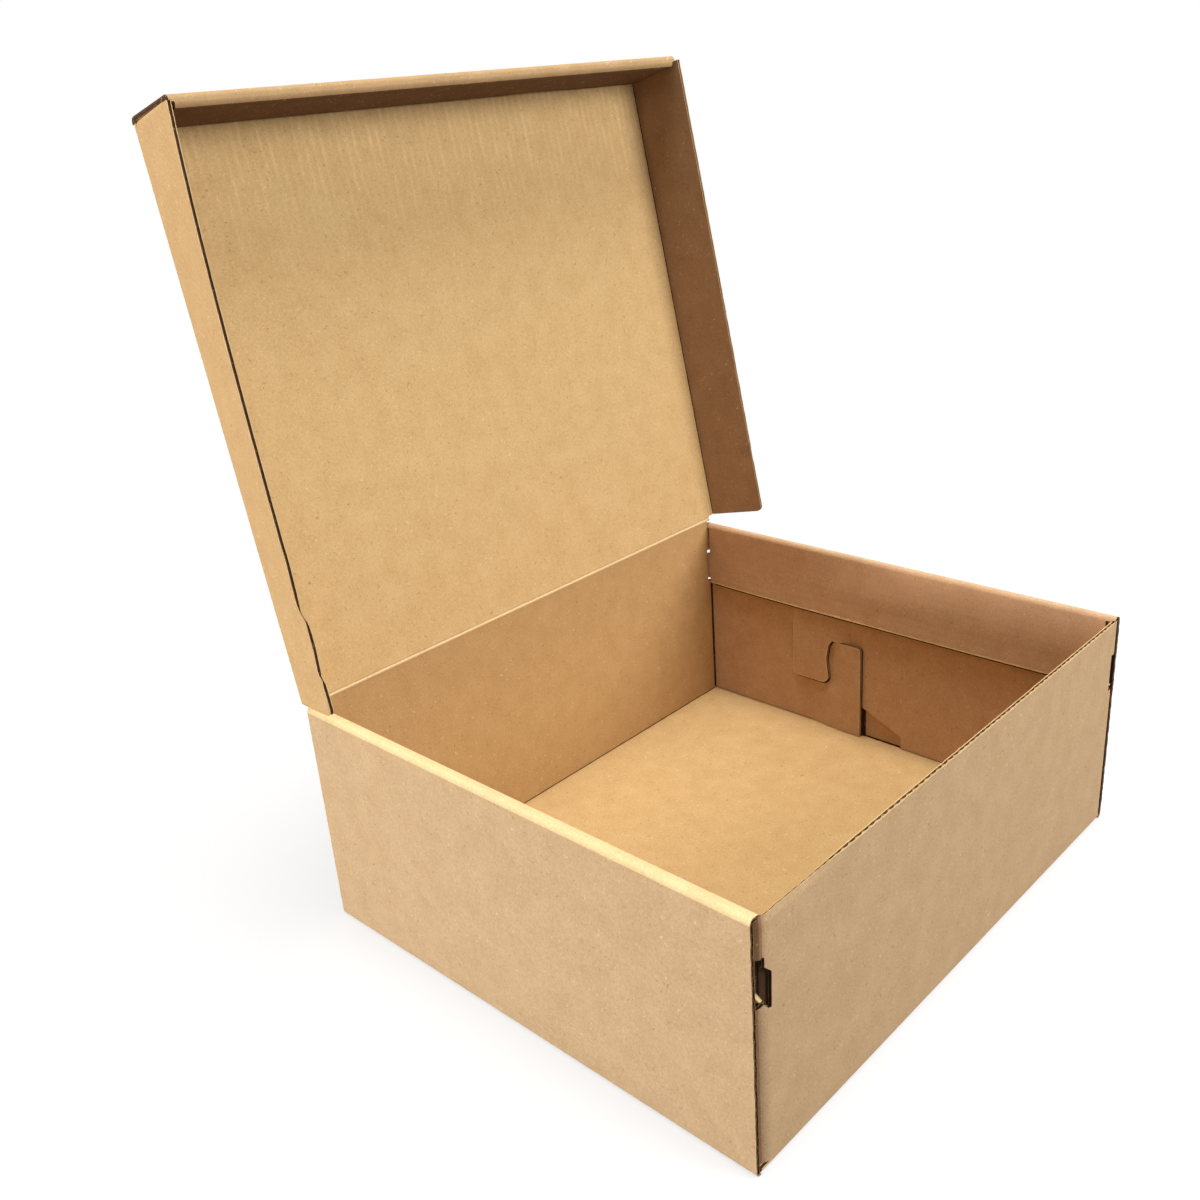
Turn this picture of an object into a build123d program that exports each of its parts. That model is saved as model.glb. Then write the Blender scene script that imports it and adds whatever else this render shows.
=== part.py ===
from build123d import *
from math import cos, radians, sin
import os

# A hinged-lid box, folded from one die-cut sheet of single-wall corrugated board.
# Millimetres. +X runs along the hinge, -Y is the front, +Z is up, and the origin is the middle of the
# tray's underside. The lid stands open, just past upright.

# Board and folds
board = 2.5  # thickness of the board
fold_inside = 0.8  # inside radius of a pressed fold
corner_inside = 2.0  # inside radius of the upright corner folds
ply_gap = 0.2  # air between plies that lie on each other
slit = 0.5  # width of a die-cut slit

# Tray
tray_width = 399.0  # over the two end walls
tray_depth = 338.0  # over the front and back walls
rim_height = 154.5  # underside to the rim of the end walls
front_height = 151.0  # underside to the cut edge of the front wall
hem_depth = 52.3  # rim to the free edge of the hem
end_setback = 0.6  # cut ends of the end walls, behind the front and back faces
hem_end_gap = 0.8  # ends of the hem, from the front and back walls
floor_gap = 0.5  # corner flaps above the floor
tuck_gap = 1.0  # corner flaps below the rim strip

# Hem tabs and the slots that hold them at the corner folds
tab_lift = 2.5  # tab above the free edge of the hem
tab_height = 19.5
tab_reach = 0.8  # tab past the end of the hem
barb_reach = 3.0  # pointed barb at the foot of the tab
barb_height = 7.0
slot_play = 0.8  # slot above and below the tab
front_slot_reach = 14.0  # slot in the front wall, from the outside of the end wall
back_slot_reach = 9.0  # slot in the back wall
slot_in_flap = 12.0  # slot in the flap, from the outside of the front or back wall
slot_shoulder = 6.0  # slanted upper corner
slot_toe = 3.0  # width of the toe at the slot's foot
slot_toe_drop = 6.0
nick_width = 1.2  # short cut that runs up from the slot
nick_height = 4.5

# Interlocked corner flaps, seen from inside the box
lock_behind = 44.5  # crossing of the flaps, behind the middle of the tray
lock_drop = 22.7  # crossing of the flaps, below the hem
lock_root = 2.0  # overlap that joins a tongue to its own flap
front_tongue = 38.0  # front flap's tongue, past the crossing
front_tongue_drop = 60.7  # lower edge of that tongue, below the hem
tongue_neck = 4.0  # S-shaped edge of that tongue: its foot, waist and throat
tongue_waist = 7.0
tongue_waist_drop = 38.7
tongue_throat = 5.0
tongue_throat_drop = 27.2
tongue_round = 4.0
tongue_sweep = 25.0
back_tongue = 24.0  # back flap's tongue, past the crossing
back_tongue_round = 2.0
heel_reach = 59.0  # cut-away heel of the front flap, from the crossing
heel_rise = 10.0
heel_slope = 36.0  # height of the sloping edge at the crossing

# Lid
lid_open = 100.6  # angle from closed, in degrees
lid_rest = 0.85  # closed lid above the rim
hinge_gap = 0.3  # lid panel from the bead of the hinge crease
hinge_notch = 0.4  # hinge crease short of the rims
swing_gap = 0.6  # lid outside the walls of the tray
lid_depth = 46.5  # side flaps, from the outside of the lid
flap_setback = 2.5  # rear edges of the side flaps, from the hinge
flap_round = 4.0  # rounded rear corners of the side flaps
lean_rear = 12.1  # outward lean of the side flaps, in degrees
lean_front = 3.3
roll_depth = 44.3  # rolled front flap, from the outside of the lid
roll_lean = 3.9  # outward lean of the rolled flap, in degrees
roll_foot_gap = 0.3  # rolled flap's free edge from the lid panel
roll_end_gap = 0.6  # rolled flap's inner ply from the side flaps
ear_length = 36.0  # ears of the side flaps, inside the rolled flap
ear_gap = 1.5  # ears from the lid panel and from the rolled edge

# Places that follow from these
fold = fold_inside + board / 2
corner_fold = corner_inside + board / 2
half_width = tray_width / 2
half_depth = tray_depth / 2
wall_x = half_width - board / 2
flap_x = wall_x - board - ply_gap
hem_x = flap_x - board - ply_gap
wall_y = half_depth - board / 2
floor_x = wall_x - fold
floor_y = wall_y - fold
upright_x = flap_x - corner_fold
hem_foot = rim_height - hem_depth
hem_end = half_depth - board - hem_end_gap
lock_height = hem_foot - lock_drop
flap_foot = board + floor_gap
flap_top = rim_height - board - tuck_gap
tab_foot = hem_foot + tab_lift
tab_head = tab_foot + tab_height
hinge_height = rim_height + lid_rest + board / 2
hinge_x = hem_x - board / 2 - hinge_notch
lid_x = half_width + swing_gap + board / 2
roll_thickness = 3 * board + 2 * ply_gap
lid_length = tray_depth - board / 2 + swing_gap + roll_thickness


def folded(*centre_line, radius):
    """Section of the board, folded along a centre line."""
    return trace(FilletPolyline(*centre_line, radius=radius), line_width=board)


def outline(*points, radius=0):
    """Closed outline with its corners rounded."""
    return make_face(FilletPolyline(*points, radius=radius, close=True).edges())


def along_x(section, low, high):
    """Solid that carries a Y-Z section from one X to another."""
    return extrude(Plane.YZ.offset(low) * section, amount=high - low)


def along_y(section, low, high):
    """Solid that carries an X-Z section from one Y to another."""
    return extrude(Plane.XZ.offset(-high) * section, amount=high - low)


def along_z(section, low, high):
    """Solid that carries an X-Y section from one Z to another."""
    return extrude(Plane.XY.offset(low) * section, amount=high - low)


def both_ends(solid):
    """A solid and its mirror image at the other end of the box."""
    return [solid, mirror(solid, about=Plane.YZ)]


def end_wall():
    """End wall at +X: wall, rim strip and hem, with a barbed tab at each end of the hem."""
    section = folded(
        (floor_x - fold, board / 2),
        (wall_x, board / 2),
        (wall_x, rim_height - board / 2),
        (hem_x, rim_height - board / 2),
        (hem_x, hem_foot),
        radius=fold,
    )
    wall = along_y(section, end_setback - half_depth, half_depth - end_setback)
    hem_low = hem_x - board
    hem_high = hem_x + board / 2 + ply_gap
    beyond = Rectangle(hem_high - hem_low, flap_top, align=Align.MIN)
    for side in (-1, 1):
        ends = sorted((side * hem_end, side * half_depth))
        wall -= along_y(Pos(hem_low, 0) * beyond, *ends)
        tab = outline(
            (side * (hem_end - board), tab_foot),
            (side * (hem_end + barb_reach), tab_foot),
            (side * (hem_end + tab_reach), tab_foot + barb_height),
            (side * (hem_end + tab_reach), tab_head),
            (side * (hem_end - board), tab_head),
        )
        wall += along_x(tab, hem_x - board / 2, hem_x + board / 2)
    return wall


def lock_slot(reach):
    """Slot through the corner fold at +X and -Y, with a slanted shoulder, a toe and a nick."""
    head = tab_head + slot_play
    sill = tab_foot - slot_play
    toe = sill - slot_toe_drop
    edge = half_width - reach
    hole = outline(
        (half_width, sill),
        (half_width, head),
        (edge + slot_shoulder, head),
        (edge, head - slot_shoulder),
        (edge, toe),
        (edge + slot_toe, toe),
        (edge + 2 * slot_toe, sill),
    )
    hole += Pos(edge + slot_shoulder + nick_width / 2, head) * Rectangle(nick_width, 2 * nick_height)
    return along_y(hole, -tray_depth, slot_in_flap - half_depth)


def corner_flap(body, slot_reach):
    """Flap folded from the end of the front wall, cut to an outline in Y-Z and slotted at its fold."""
    start = (upright_x - corner_fold, -wall_y)
    section = folded(start, (flap_x, -wall_y), (flap_x, half_depth), radius=corner_fold)
    return along_z(section, flap_foot, flap_top) & along_x(body, 0, half_width) - lock_slot(slot_reach)


def tongue(shape, root):
    """Tongue that lies over the other flap, with the root that joins it to its own flap."""
    plate = along_x(shape, hem_x - board / 2, hem_x + board / 2)
    return plate + along_x(root, hem_x, flap_x)


def front_flap():
    """Front wall's flap at +X, with a cut-away heel and an S-edged tongue that hangs over the back flap."""
    heel_y = lock_behind - heel_reach
    slit_low = lock_behind - slit / 2
    slit_high = lock_height + slit / 2
    root_y = lock_behind + lock_root
    body = outline(
        (-half_depth, flap_foot),
        (heel_y, flap_foot),
        (heel_y, flap_foot + heel_rise),
        (slit_low, flap_foot + heel_slope),
        (slit_low, slit_high),
        (root_y, slit_high),
        (root_y, flap_top),
        (-half_depth, flap_top),
    )
    tongue_top = hem_foot - slit
    tongue_end = lock_behind + front_tongue
    tongue_foot = hem_foot - front_tongue_drop
    shape = outline(
        (lock_behind, tongue_top),
        (tongue_end, tongue_top),
        (tongue_end, tongue_foot),
        (lock_behind + tongue_neck, tongue_foot),
        (lock_behind + tongue_waist, hem_foot - tongue_waist_drop),
        (lock_behind + tongue_throat, hem_foot - tongue_throat_drop),
        (root_y, slit_high),
        (lock_behind, slit_high),
        radius=[0, 0, tongue_round, tongue_round, tongue_sweep, tongue_round, 0, 0],
    )
    root = outline(
        (lock_behind, slit_high),
        (root_y, slit_high),
        (root_y, tongue_top),
        (lock_behind, tongue_top),
    )
    return corner_flap(body, front_slot_reach) + tongue(shape, root)


def back_flap():
    """Back wall's flap at +X: plain, with a square tongue that lies over the front flap."""
    slit_high = lock_behind + slit / 2
    tongue_top = lock_height - slit / 2
    root_y = lock_behind + lock_root
    tongue_end = lock_behind - back_tongue
    body = outline(
        (-half_depth, flap_foot),
        (-slit_high, flap_foot),
        (-slit_high, tongue_top),
        (-root_y - slit, tongue_top),
        (-root_y - slit, flap_top),
        (-half_depth, flap_top),
    )
    shape = outline(
        (tongue_end, flap_foot),
        (root_y, flap_foot),
        (root_y, tongue_top),
        (tongue_end, tongue_top),
        radius=[0, 0, 0, back_tongue_round],
    )
    root = outline(
        (slit_high, flap_foot),
        (root_y, flap_foot),
        (root_y, tongue_top),
        (slit_high, tongue_top),
    )
    return mirror(corner_flap(body, back_slot_reach), about=Plane.XZ) + tongue(shape, root)


def front_wall():
    """Front wall, folded up from the floor to a plain cut edge."""
    section = folded(
        (fold - floor_y, board / 2),
        (-wall_y, board / 2),
        (-wall_y, front_height),
        radius=fold,
    )
    wall = along_x(section, -upright_x, upright_x)
    for slot in both_ends(lock_slot(front_slot_reach)):
        wall -= slot
    return wall


def back_wall():
    """Back wall, folded up from the floor to the bead of the hinge crease, clear of the rims."""
    section = folded(
        (floor_y - fold, board / 2),
        (wall_y, board / 2),
        (wall_y, flap_top),
        radius=fold,
    )
    wall = along_x(section, -upright_x, upright_x)
    for slot in both_ends(mirror(lock_slot(back_slot_reach), about=Plane.XZ)):
        wall -= slot
    rise = hinge_height - flap_top
    strip = Pos(wall_y, flap_top) * Rectangle(board, rise, align=(Align.CENTER, Align.MIN))
    bead = Pos(wall_y, hinge_height) * Circle(board / 2)
    return wall + along_x(strip + bead, -hinge_x, hinge_x)


def tray():
    """Floor with its four walls, hems and corner flaps, as one folded solid."""
    floor = along_z(Rectangle(2 * floor_x, 2 * floor_y), 0, board)
    pieces = [front_wall(), back_wall()]
    for piece in (end_wall(), front_flap(), back_flap()):
        pieces += both_ends(piece)
    return floor.fuse(*pieces).clean()


def flap_section(lean):
    """Section of a side flap of the closed lid at +X, with its fold."""
    depth = lid_depth - board / 2
    free_edge = (lid_x + depth * sin(radians(lean)), -depth * cos(radians(lean)))
    return folded((lid_x - 2 * fold, 0), (lid_x, 0), free_edge, radius=fold)


def side_flap():
    """Side flap of the closed lid at +X, twisted outwards at the rear, with its ear at the front."""
    fold_at = lid_length - board - ply_gap
    tilt = radians(roll_lean)
    front = Plane(origin=(0, -fold_at, 0), x_dir=(1, 0, 0), z_dir=(0, -cos(tilt), sin(tilt)))
    rear = Plane.XZ.offset(flap_setback)
    flap = loft([rear * flap_section(lean_rear), front * flap_section(lean_front)])
    tip = Pos(-flap_setback, board / 2 - lid_depth) * Rectangle(2 * flap_round, 2 * flap_round)
    tip -= Pos(-flap_setback - flap_round, board / 2 - lid_depth + flap_round) * Circle(flap_round)
    ear_foot = roll_depth - 3 * board / 2 - ear_gap
    spread = sin(radians(lean_front))
    ear = outline(
        (lid_x - ear_length, -board / 2 - ear_gap),
        (lid_x, -board / 2 - ear_gap),
        (lid_x + ear_foot * spread, -ear_foot),
        (lid_x - ear_length, -ear_foot),
    )
    return flap - along_x(tip, 0, tray_width) + extrude(front * ear, amount=-board)


def rolled_flap():
    """Rolled front flap of the closed lid: outer ply, rolled edge and an inner ply back to the panel."""
    lean = radians(roll_lean)
    down = Vector(-sin(lean), -cos(lean))
    back = Vector(cos(lean), -sin(lean))
    top = Vector(board / 2 - lid_length, 0)
    edge = top + down * (roll_depth - board)
    turn = edge + back * (roll_thickness - board)
    foot = turn - down * (roll_depth - 3 * board / 2 - roll_foot_gap)
    start = top + Vector(2 * fold, 0)
    outer = along_x(folded(start, top, edge, (edge + turn) / 2, radius=fold), -lid_x, lid_x)
    inner_x = half_width + swing_gap - roll_end_gap
    inner = along_x(folded((edge + turn) / 2, turn, foot, radius=fold), -inner_x, inner_x)
    return outer + inner


def lid():
    """Lid panel with its side flaps and rolled front flap, folded as one solid and swung open."""
    panel_x = lid_x - 2 * fold
    panel_end = lid_length - board / 2 - 2 * fold
    hinge_start = board / 2 + hinge_gap
    top_edge = (Align.CENTER, Align.MAX)
    panel = Pos(0, -flap_setback) * Rectangle(2 * panel_x, panel_end - flap_setback, align=top_edge)
    panel += Pos(0, -hinge_start) * Rectangle(2 * hinge_x, lid_depth, align=top_edge)
    closed = along_z(panel, -board / 2, board / 2).fuse(rolled_flap(), *both_ends(side_flap())).clean()
    return Pos(0, wall_y, hinge_height) * Rot(X=-lid_open) * closed


os.makedirs("parts", exist_ok=True)
export_step(tray(), "parts/tray.step")
export_step(lid(), "parts/lid.step")
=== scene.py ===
import math

import bmesh
import bpy
import numpy as np
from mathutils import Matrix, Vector
from mathutils.geometry import delaunay_2d_cdt


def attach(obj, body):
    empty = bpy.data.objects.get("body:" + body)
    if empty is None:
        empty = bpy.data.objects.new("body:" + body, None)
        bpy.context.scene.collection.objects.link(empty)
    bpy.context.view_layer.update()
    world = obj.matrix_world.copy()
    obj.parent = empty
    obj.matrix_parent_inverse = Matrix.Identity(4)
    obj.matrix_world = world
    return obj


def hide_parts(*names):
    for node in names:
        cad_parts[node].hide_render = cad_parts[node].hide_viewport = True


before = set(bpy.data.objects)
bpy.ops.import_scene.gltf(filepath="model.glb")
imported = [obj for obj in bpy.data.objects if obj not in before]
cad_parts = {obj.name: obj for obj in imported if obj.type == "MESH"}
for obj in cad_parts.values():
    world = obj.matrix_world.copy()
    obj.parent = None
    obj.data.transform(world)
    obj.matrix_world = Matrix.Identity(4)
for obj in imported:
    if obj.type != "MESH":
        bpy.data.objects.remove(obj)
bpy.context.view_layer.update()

# Floor of the tray.
# Single-wall corrugated board: two kraft paper liners on a waved core, die-cut and folded by hand.
# It is the middle of the sheet, and turns up into the front and back walls at two pressed folds.
MM = 0.001
BOARD = 2.5  # thickness of the board
LINER = 0.4  # each paper liner
FLUTE = 6.0  # from one flute to the next
FOLD = 2.05  # pressed fold, at the middle of the board
CREASE = 1.1  # depth of the groove that the creasing rule leaves inside a fold
HALF = BOARD / 2
SKINS = ((HALF - LINER, HALF), (-HALF, LINER - HALF))  # inner and outer liner, from the middle of the board
# Places of the papers in each piece: liners, core in painted shade and plain, cut edge,
# then a pale paper for rubbing and painted highlight, and three browner liners of painted shade.
INSIDE, OUTSIDE, SHADED, CORE, CUT, RUB_AND_HIGHLIGHT, END_FLAP, TURNED_IN, DARK_SHADE = range(9)

WALL_X = 198.25  # middle of the end walls
WALL_Y = 167.75  # middle of the front and back walls
UPRIGHT_X = 192.3  # where the front and back walls turn into their corner flaps
FLOOR_X = WALL_X - FOLD
FLOOR_END = FLOOR_X - 0.55  # where the floor runs on into the end walls
WALL_FOOT = HALF + FOLD


def bent(corners, radii):
    """Middle line of board folded at these corners: its length, its folds, and the place and inward normal at s."""
    points = [np.array(c, float) for c in corners]
    runs, folds, here, length = [], [], points[0], 0.0
    for i in range(1, len(points)):
        way = points[i] - points[i - 1]
        way = way / np.linalg.norm(way)
        turn = cut = 0.0
        if i < len(points) - 1:
            onward = points[i + 1] - points[i]
            onward = onward / np.linalg.norm(onward)
            turn = math.atan2(way[0] * onward[1] - way[1] * onward[0], way @ onward)
            cut = radii[i - 1] * math.tan(abs(turn) / 2)
        end = points[i] - way * cut
        span = float(np.linalg.norm(end - here))
        runs.append((length, span, here, way, 0.0))
        length += span
        if turn:
            arc = radii[i - 1] * abs(turn)
            runs.append((length, arc, end, way, turn))
            folds.append((length, length + arc))
            length += arc
            here = points[i] + onward * cut

    def at(s):
        start, span, begin, way, turn = next((r for r in reversed(runs) if s >= r[0] - 1e-9), runs[0])
        left = np.array([-way[1], way[0]])
        if not turn:
            return begin + way * (s - start), left
        angle = turn * (s - start) / span
        radius = span / turn
        place = begin + way * radius * math.sin(angle) + left * radius * (1 - math.cos(angle))
        return place, left * math.cos(angle) - way * math.sin(angle)

    return length, folds, at


def groove(s, folds, offset, depth=CREASE, width=0.7):
    """Offset from the middle of the board at s, with the creasing rule's groove pressed into the inner liner."""
    if offset <= 0:
        return offset
    return offset - depth * sum(math.exp(-(((s - (a + b) / 2) / width) ** 2)) for a, b in folds)


def fold_lines(folds):
    """Lines along each fold, close enough together to round it."""
    return [s for a, b in folds for s in np.linspace(a, b, 13)]


def inside(points, loop):
    """Which flat points lie inside a closed loop."""
    x, y = points[:, 0], points[:, 1]
    found = np.zeros(len(points), bool)
    for (x0, y0), (x1, y1) in zip(loop, [*loop[1:], loop[0]]):
        if y0 != y1:
            found ^= ((y0 > y) != (y1 > y)) & (x < (x1 - x0) * (y - y0) / (y1 - y0) + x0)
    return found


def cut_board(outline, place, across=(), along=(), holes=(), skins=SKINS, recess=0.8, tint=None):
    """Board cut to a flat outline in millimetres, and folded by place(u, v, offset).

    On most pieces u runs across the flutes and v along them. At cut edges the core shows, set back by recess.
    The core and the cut edges of holes take the dark paper of painted shade.
    tint(u, v, layer) gives the paper of a place.
    """
    points, edges = [], []
    for loop in (outline, *holes):
        first = len(points)
        points += [Vector(p) for p in loop]
        edges += [(first + i, first + (i + 1) % len(loop)) for i in range(len(loop))]
    low, high = np.min(outline, 0) - 1, np.max(outline, 0) + 1
    for u in across:
        edges.append((len(points), len(points) + 1))
        points += [Vector((u, low[1])), Vector((u, high[1]))]
    for v in along:
        edges.append((len(points), len(points) + 1))
        points += [Vector((low[0], v)), Vector((high[0], v))]
    flat, _, faces, *_ = delaunay_2d_cdt(points, edges, [], 0, 1e-3)
    flat = np.array([tuple(p) for p in flat])
    faces = np.array([f for f in faces if len(f) == 3])
    middles = flat[faces].mean(1)
    kept = inside(middles, outline)
    for hole in holes:
        kept &= ~inside(middles, hole)
    used, faces = np.unique(faces[kept], return_inverse=True)
    flat, faces = flat[used], faces.reshape(-1, 3)
    sides = {}
    for a, b, c in faces:
        for edge in ((a, b), (b, c), (c, a)):
            if edge[::-1] in sides:
                del sides[edge[::-1]]
            else:
                sides[edge] = True
    cuts, cores = [], []
    for a, b in sides:
        u, v = (flat[a] + flat[b]) / 2
        punched = any((np.min(h, 0) - 0.1 < (u, v)).all() and ((u, v) < np.max(h, 0) + 0.1).all() for h in holes)
        cuts.append(SHADED if punched else tint(u, v, CUT) if tint else CUT)
        cores.append(tint(u, v, SHADED) if tint else SHADED)
    verts, solid, layers, count = [], [], [], len(flat)
    middles = flat[faces].mean(1)
    for layer, (low_side, high_side) in enumerate(skins):
        shades = [tint(u, v, layer) if tint else layer for u, v in middles]
        base = len(verts)
        verts += [place(u, v, high_side) for u, v in flat]
        verts += [place(u, v, low_side) for u, v in flat]
        solid += [(base + a, base + b, base + c) for a, b, c in faces]
        solid += [(base + count + c, base + count + b, base + count + a) for a, b, c in faces]
        layers += shades * 2
        solid += [(base + b, base + a, base + count + a, base + count + b) for a, b in sides]
        layers += cuts
    flat_all = [np.tile(flat, (2 * len(skins), 1))]
    if recess and len(skins) == 2:
        inset = {}
        for a, b in sides:
            run = flat[b] - flat[a]
            aside = np.array([-run[1], run[0]]) / max(np.linalg.norm(run), 1e-9)
            for end in (a, b):
                inset.setdefault(end, []).append(aside)
        rim, base = list(inset), len(verts)
        where = {end: i for i, end in enumerate(rim)}
        shifted = np.array([flat[end] + recess * np.mean(inset[end], 0) for end in rim])
        low_side, high_side = skins[1][1] + 0.02, skins[0][0] - 0.02
        verts += [place(u, v, high_side) for u, v in shifted]
        verts += [place(u, v, low_side) for u, v in shifted]
        n = len(rim)
        solid += [(base + where[a], base + where[b], base + n + where[b], base + n + where[a]) for a, b in sides]
        layers += cores
        flat_all += [shifted, shifted]
    return verts, solid, np.concatenate(flat_all), layers


def fluting(start, end, low, high, place, filled=False):
    """Waved core between the liners, from start to end across the flutes and low to high along them.

    Filled, it is crushed against the outer liner, and only the inner half of each flute stays open.
    """
    steps = int((end - start) / FLUTE * 10)
    us = np.linspace(start, end, steps + 1)
    wave = (HALF - LINER - 0.15) * np.sin(2 * np.pi * us / FLUTE)
    foot = np.full_like(wave, LINER - HALF) if filled else wave - 0.13
    wave = np.maximum(wave - 0.55, LINER - HALF) if filled else wave
    verts, flat = [], []
    for curve in (wave + 0.13, foot):
        for v in (low, high):
            verts += [place(u, v, w) for u, w in zip(us, curve)]
            flat += [(u, v) for u in us]
    n = len(us)
    corners = (0, n, 3 * n, 2 * n)
    solid = []
    for i in range(n - 1):
        for a, b in zip(corners, (*corners[1:], corners[0])):
            solid.append((a + i, b + i, b + i + 1, a + i + 1))
    solid += [corners, tuple(c + n - 1 for c in reversed(corners))]
    return verts, solid, np.array(flat), [CORE] * len(solid)


def make(name, parts, papers, body):
    """One mesh of these cut parts, in the row frame, that moves with a body of the box; papers are inside first."""
    verts, faces, flat, layers = [], [], [], []
    for part_verts, part_faces, part_flat, part_layers in parts:
        base = len(verts)
        verts += [Vector(p) * MM for p in part_verts]
        faces += [tuple(base + i for i in f) for f in part_faces]
        flat += list(part_flat)
        layers += part_layers
    mesh = bpy.data.meshes.new(name)
    mesh.from_pydata(verts, [], faces)
    for paper in papers:
        mesh.materials.append(paper)
    mesh.polygons.foreach_set("material_index", layers)
    board_map = mesh.uv_layers.new(name="board")
    for loop in mesh.loops:
        board_map.data[loop.index].uv = flat[loop.vertex_index] * MM
    work = bmesh.new()
    work.from_mesh(mesh)
    bmesh.ops.recalc_face_normals(work, faces=work.faces)
    work.to_mesh(mesh)
    work.free()
    mesh.shade_smooth()
    mesh.set_sharp_from_angle(angle=math.radians(38))
    made = bpy.data.objects.new(name, mesh)
    bpy.context.scene.collection.objects.link(made)
    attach(made, body)
    return made


def linear(hex_colour):
    """An sRGB hex colour as linear red, green, blue and alpha."""
    parts = [int(hex_colour[i:i + 2], 16) / 255 for i in (0, 2, 4)]
    return (*[c / 12.92 if c <= 0.04045 else ((c + 0.055) / 1.055) ** 2.4 for c in parts], 1.0)


def add(tree, kind, links=None, **settings):
    """Adds a node with its settings, and links or sets its sockets."""
    node = tree.nodes.new(kind)
    for name, value in settings.items():
        setattr(node, name, value)
    for socket, value in (links or {}).items():
        if isinstance(value, bpy.types.NodeSocket):
            tree.links.new(value, node.inputs[socket])
        else:
            node.inputs[socket].default_value = value
    return node


def kraft_paper(name, tone, shade, fleck, pressed=(0.0, 0.0)):
    """Unbleached kraft liner: matt and even to the eye, with loose fibres, and the flutes faintly showing.

    Between the two flat heights in pressed, in millimetres, the flutes show through as a washboard.
    """
    material = bpy.data.materials.new(name)
    material.use_nodes = True
    tree = material.node_tree
    tree.nodes.clear()
    place = add(tree, "ShaderNodeTexCoord").outputs["Object"]
    flat = add(tree, "ShaderNodeUVMap", uv_map="board").outputs["UV"]
    # The pulp settles in clouds about 15 mm wide.
    # Real fibres are finer than a pixel, so the grain is drawn as coarse as 1.3 mm.
    clouds = add(tree, "ShaderNodeTexNoise", {"Vector": place, "Scale": 1 / 0.015, "Detail": 3.0}).outputs["Fac"]
    pulp = add(tree, "ShaderNodeTexNoise", {"Vector": place, "Scale": 1 / 0.0013, "Detail": 2.0}).outputs["Fac"]
    cloudy = add(tree, "ShaderNodeMapRange", {"Value": clouds, "From Min": 0.3, "From Max": 0.7}).outputs["Result"]
    ground = add(
        tree, "ShaderNodeMix", {"Factor": cloudy, "A": linear(tone), "B": linear(shade)}, data_type="RGBA"
    ).outputs["Result"]
    grain = add(
        tree, "ShaderNodeMapRange", {"Value": pulp, "From Min": 0.3, "From Max": 0.7, "To Min": 0.92, "To Max": 1.08}
    ).outputs["Result"]
    along = add(tree, "ShaderNodeSeparateXYZ", {"Vector": flat}).outputs["Y"]
    low, high = pressed
    board_press = add(
        tree, "ShaderNodeMapRange",
        {
            "Value": along, "From Min": low * MM, "From Max": high * MM,
            "To Min": 0.01, "To Max": 0.15 if high > low else 0.015,
        },
        interpolation_type="SMOOTHSTEP",
    ).outputs["Result"]
    ridge = add(
        tree, "ShaderNodeTexWave", {"Vector": flat, "Scale": 2 * math.pi / (20 * FLUTE * MM)}, bands_direction="X"
    ).outputs["Fac"]
    sharp = add(tree, "ShaderNodeMath", {0: ridge, 1: 2.0}, operation="POWER").outputs["Value"]
    # The washboard comes and goes in streaks about 7 mm wide and 22 mm long.
    drawn_out = add(
        tree, "ShaderNodeVectorMath", {0: flat, 1: (1 / 0.007, 1 / 0.022, 0)}, operation="MULTIPLY"
    ).outputs["Vector"]
    streaks = add(tree, "ShaderNodeTexNoise", {"Vector": drawn_out, "Scale": 1.0, "Detail": 1.0}).outputs["Fac"]
    uneven = add(tree, "ShaderNodeMapRange", {"Value": streaks, "From Min": 0.38, "From Max": 0.62}).outputs["Result"]
    crest = add(tree, "ShaderNodeMath", {0: sharp, 1: uneven}, operation="MULTIPLY").outputs["Value"]
    # The crests are drawn lighter as well as bumped: a painted highlight on the washboard.
    ridge_tone = add(
        tree, "ShaderNodeMath", {0: crest, 1: board_press, 2: 0.985}, operation="MULTIPLY_ADD"
    ).outputs["Value"]
    level = add(tree, "ShaderNodeMath", {0: grain, 1: ridge_tone}, operation="MULTIPLY").outputs["Value"]
    toned = add(tree, "ShaderNodeVectorMath", {0: ground, "Scale": level}, operation="SCALE").outputs["Vector"]
    fibres = add(
        tree, "ShaderNodeTexNoise", {"Vector": place, "Scale": 1 / 0.0017, "Detail": 1.0, "Distortion": 1.2}
    ).outputs["Fac"]
    dark = add(
        tree, "ShaderNodeMapRange", {"Value": fibres, "From Min": 0.68, "From Max": 0.75, "To Max": 0.5}
    ).outputs["Result"]
    speckled = add(
        tree, "ShaderNodeMix", {"Factor": dark, "A": toned, "B": linear(fleck)}, data_type="RGBA"
    ).outputs["Result"]
    pale = add(
        tree, "ShaderNodeMapRange", {"Value": fibres, "From Min": 0.31, "From Max": 0.25, "To Max": 0.4}
    ).outputs["Result"]
    fibred = add(
        tree, "ShaderNodeMix", {"Factor": pale, "A": speckled, "B": linear("EFD9B2")}, data_type="RGBA"
    ).outputs["Result"]
    relief = add(tree, "ShaderNodeMath", {0: ridge, 1: pulp}, operation="ADD").outputs["Value"]
    bump = add(tree, "ShaderNodeBump", {"Height": relief, "Strength": 0.25, "Distance": 0.00012}).outputs["Normal"]
    shader = add(
        tree, "ShaderNodeBsdfPrincipled",
        {"Base Color": fibred, "Normal": bump, "Roughness": 0.9, "IOR": 1.45, "Specular IOR Level": 0.25},
    )
    add(tree, "ShaderNodeOutputMaterial", {"Surface": shader.outputs["BSDF"]})
    return material
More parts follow.
